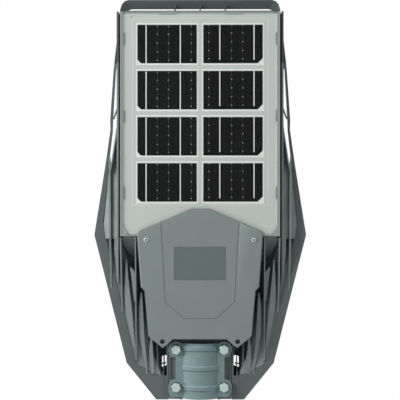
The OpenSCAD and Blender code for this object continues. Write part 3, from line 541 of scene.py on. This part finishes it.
def cell_borders():
    """White print round each cell; it also fills the cell's cut corner."""
    bm = bmesh.new()
    wide, long = 2 * MM, 2.9 * MM
    for side, y0 in each_cell():
        cut = CELL_CUT[side]
        inner = [(0, 0), (CELL_W - cut, 0), (CELL_W - cut / 2, cut / 2), (CELL_W, cut),
                 (CELL_W, CELL_L), (0, CELL_L)]
        outer = [(-wide, -long), (CELL_W - cut, -long), (CELL_W + wide, -long), (CELL_W + wide, cut),
                 (CELL_W + wide, CELL_L + long), (-wide, CELL_L + long)]
        place = [[(side * (INNER_X + x), y0 + y) for x, y in line] for line in (inner, outer)]
        flat_ring(bm, *place, PRINT_Z, SHEET_TOP + 0.05 * MM)
    add_piece("cell_borders", bm, PRINT, "lamp")


# Places on a cell: across it from its inner edge, and down it from its front edge
PRINTED_BARS = (8.5 * MM, 43.3 * MM, 60.5 * MM)
RIBBONS = (25.3 * MM, 77.7 * MM)
PAD_ROWS = {
    -1: (2.3 * MM, 14.4 * MM, 28.2 * MM, 41.8 * MM, 54.3 * MM),
    1: (0.9 * MM, 12.7 * MM, 26 * MM, 39.6 * MM, 52.2 * MM),
}
BAR_W = 0.22 * MM
PAD_R = 0.72 * MM
SOLDER_R = 0.75 * MM
RIBBON_END_R = 1.1 * MM


def busbars():
    """Thin printed busbars, their solder pads and the ribbons' bright ends."""
    lines, pads, solder = bmesh.new(), bmesh.new(), bmesh.new()
    end_gap = 1.2 * MM
    for side, y0 in each_cell():
        front = y0 + CELL_L
        for across in PRINTED_BARS:
            x = side * (INNER_X + across)
            slab(lines, x - BAR_W / 2, x + BAR_W / 2, y0 + end_gap, front - end_gap,
                 CELL_TOP, CELL_TOP + 0.02 * MM)
            for down in PAD_ROWS[side]:
                disc(pads, x, front - down, CELL_TOP, CELL_TOP + 0.06 * MM, PAD_R)
        for across in RIBBONS:
            x = side * (INNER_X + across)
            for down in PAD_ROWS[side][1:-1]:
                disc(solder, x, front - down, CELL_TOP + 0.15 * MM, CELL_TOP + 0.26 * MM, SOLDER_R)
            if side < 0:
                disc(solder, x, front - PAD_ROWS[side][0], CELL_TOP, CELL_TOP + 0.28 * MM, RIBBON_END_R)
    add_piece("busbar_lines", lines, FINE_SILVER, "lamp")
    add_piece("solder_pads", pads, SILVER, "lamp")
    add_piece("ribbon_solder", solder, TINNED, "lamp")


def laminate_edge():
    """Fine line where the laminate that holds the cells ends."""
    x, y0, y1, w = 104 * MM, 301 * MM, 588 * MM, 0.5 * MM
    bm = bmesh.new()
    inner = [(-x + w, y0 + w), (x - w, y0 + w), (x - w, y1 - w), (-x + w, y1 - w)]
    flat_ring(bm, inner, [(-x, y0), (x, y0), (x, y1), (-x, y1)], PRINT_Z, PRINT_TOP)
    add_piece("laminate_edge", bm, LAMINATE, "lamp")


def panel_seal():
    """Seal along both sides of the panel, just inside the tray's lip."""
    inner, outer = 116.3 * MM, 117.9 * MM
    bm = bmesh.new()
    for x0, x1 in ((-outer, -inner), (inner, outer)):
        slab(bm, x0, x1, 271 * MM, 594 * MM, PRINT_Z, PRINT_TOP + 0.1 * MM)
    add_piece("panel_seal", bm, PRINT, "lamp")


def corner_marks():
    """Two printed dots at a rear corner of the panel and a dark pin at a front corner."""
    dots = bmesh.new()
    for x in (101 * MM, 109 * MM):
        disc(dots, x, 269 * MM, PRINT_Z, PRINT_TOP, 1.2 * MM, 12)
    add_piece("print_marks", dots, PRINT, "lamp")
    pin = bmesh.new()
    disc(pin, -105 * MM, 590 * MM, PRINT_Z, PRINT_TOP, 0.9 * MM, 12)
    add_piece("locating_pin", pin, BLACK, "lamp")


cell_borders()
busbars()
laminate_edge()
panel_seal()
corner_marks()


# ---------------------------------------------------------------- light side

def chip_centres():
    """Middle of each diode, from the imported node's separate solids."""
    bm = bmesh.new()
    bm.from_mesh(nodes["led_chips"].data)
    bmesh.ops.remove_doubles(bm, verts=bm.verts, dist=1e-6)
    seen, out = set(), []
    for start in bm.verts:
        if start.index in seen:
            continue
        todo, island = [start], []
        seen.add(start.index)
        while todo:
            v = todo.pop()
            island.append(v.co.copy())
            for e in v.link_edges:
                other = e.other_vert(v)
                if other.index not in seen:
                    seen.add(other.index)
                    todo.append(other)
        out.append(sum(island, Vector()) / len(island))
    bm.free()
    return sorted(out, key=lambda c: (round(c.x, 5), round(c.y, 5)))


def lens_rings():
    """Three stepped rings over each diode, on the face of the lens modules."""
    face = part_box("lens_modules")[0][2]
    bm = bmesh.new()
    for centre in chip_centres():
        for r, depth in ((3.1, 0.0), (2.4, 0.25), (1.3, 0.45)):
            disc(bm, centre.x, centre.y, face - (depth + 0.12) * MM, face - (depth - 0.02) * MM,
                 r * MM, 20)
    add_piece("lens_rings", bm, CLEAR, "lamp")


def dome_facets():
    """Fresnel facets of the motion sensor's dome."""
    low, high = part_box("sensor_dome")
    dome_r, rim = 11 * MM, -1.5 * MM
    centre = Vector(((low[0] + high[0]) / 2, (low[1] + high[1]) / 2, low[2] + dome_r))
    bm = bmesh.new()
    bmesh.ops.create_icosphere(bm, subdivisions=3, radius=dome_r + 0.05 * MM)
    for v in [v for v in bm.verts if v.co.z > rim]:
        bm.verts.remove(v)
    bmesh.ops.translate(bm, verts=bm.verts, vec=centre)
    obj = add_piece("dome_facets", bm, DOME, "lamp")
    shell = obj.modifiers.new("shell", "SOLIDIFY")
    shell.thickness = 0.3 * MM
    shell.offset = -1


lens_rings()
dome_facets()


# ---------------------------------------------------------------- stage, light, camera

def glowing(name, strength):
    """Even white, so that the floor shows without shading."""
    mat = bpy.data.materials.new(name)
    mat.use_nodes = True
    tree = mat.node_tree
    tree.nodes.remove(tree.nodes["Principled BSDF"])
    glow = tree.nodes.new("ShaderNodeEmission")
    glow.inputs["Strength"].default_value = strength
    tree.links.new(glow.outputs[0], tree.nodes["Material Output"].inputs["Surface"])
    return mat


def make_floor():
    """Pale floor well below the lamp, which hangs at its pole's height."""
    mesh = bpy.data.meshes.new("floor")
    half, z = 30, -2.8
    corners = [(-half, -half, z), (half, -half, z), (half, half, z), (-half, half, z)]
    mesh.from_pydata(corners, [], [(0, 1, 2, 3)])
    mesh.materials.append(glowing("floor", 1.0))
    floor = bpy.data.objects.new("floor", mesh)
    scene.collection.objects.link(floor)


def area(name, place, target, size, power):
    light = bpy.data.lights.new(name, "AREA")
    light.shape = "RECTANGLE"
    light.size, light.size_y = size
    light.energy = power
    obj = bpy.data.objects.new(name, light)
    scene.collection.objects.link(obj)
    obj.location = place
    obj.rotation_mode = "QUATERNION"
    obj.rotation_quaternion = (Vector(target) - Vector(place)).to_track_quat("-Z", "Y")


make_floor()
world = bpy.data.worlds.new("world")
scene.world = world
world.use_nodes = True
world.node_tree.nodes["Background"].inputs["Color"].default_value = (1, 1, 1, 1)
world.node_tree.nodes["Background"].inputs["Strength"].default_value = 0.43

MIDDLE_Y = 0.309
MIDDLE = (0, MIDDLE_Y, 0)
area("key", (-1.36, 0.98, 1.15), MIDDLE, (0.6, 0.6), 16)
area("low_left", (-1.9, 0.35, 0.42), MIDDLE, (0.4, 1.0), 13)
area("front_right", (0.9, 1.5, 1.1), (0, 0.1, 0), (0.35, 0.35), 2)

cam = bpy.data.cameras.new("camera")
cam.sensor_width = 36
cam.lens = 18 / 0.156
camera = bpy.data.objects.new("camera", cam)
scene.collection.objects.link(camera)
CAMERA_X, CAMERA_Z, PANEL_Z = 0.018, 2.0, 0.04
camera.location = (CAMERA_X, MIDDLE_Y, CAMERA_Z)
camera.rotation_euler = (0, math.atan2(CAMERA_X, CAMERA_Z - PANEL_Z), 0)
scene.camera = camera
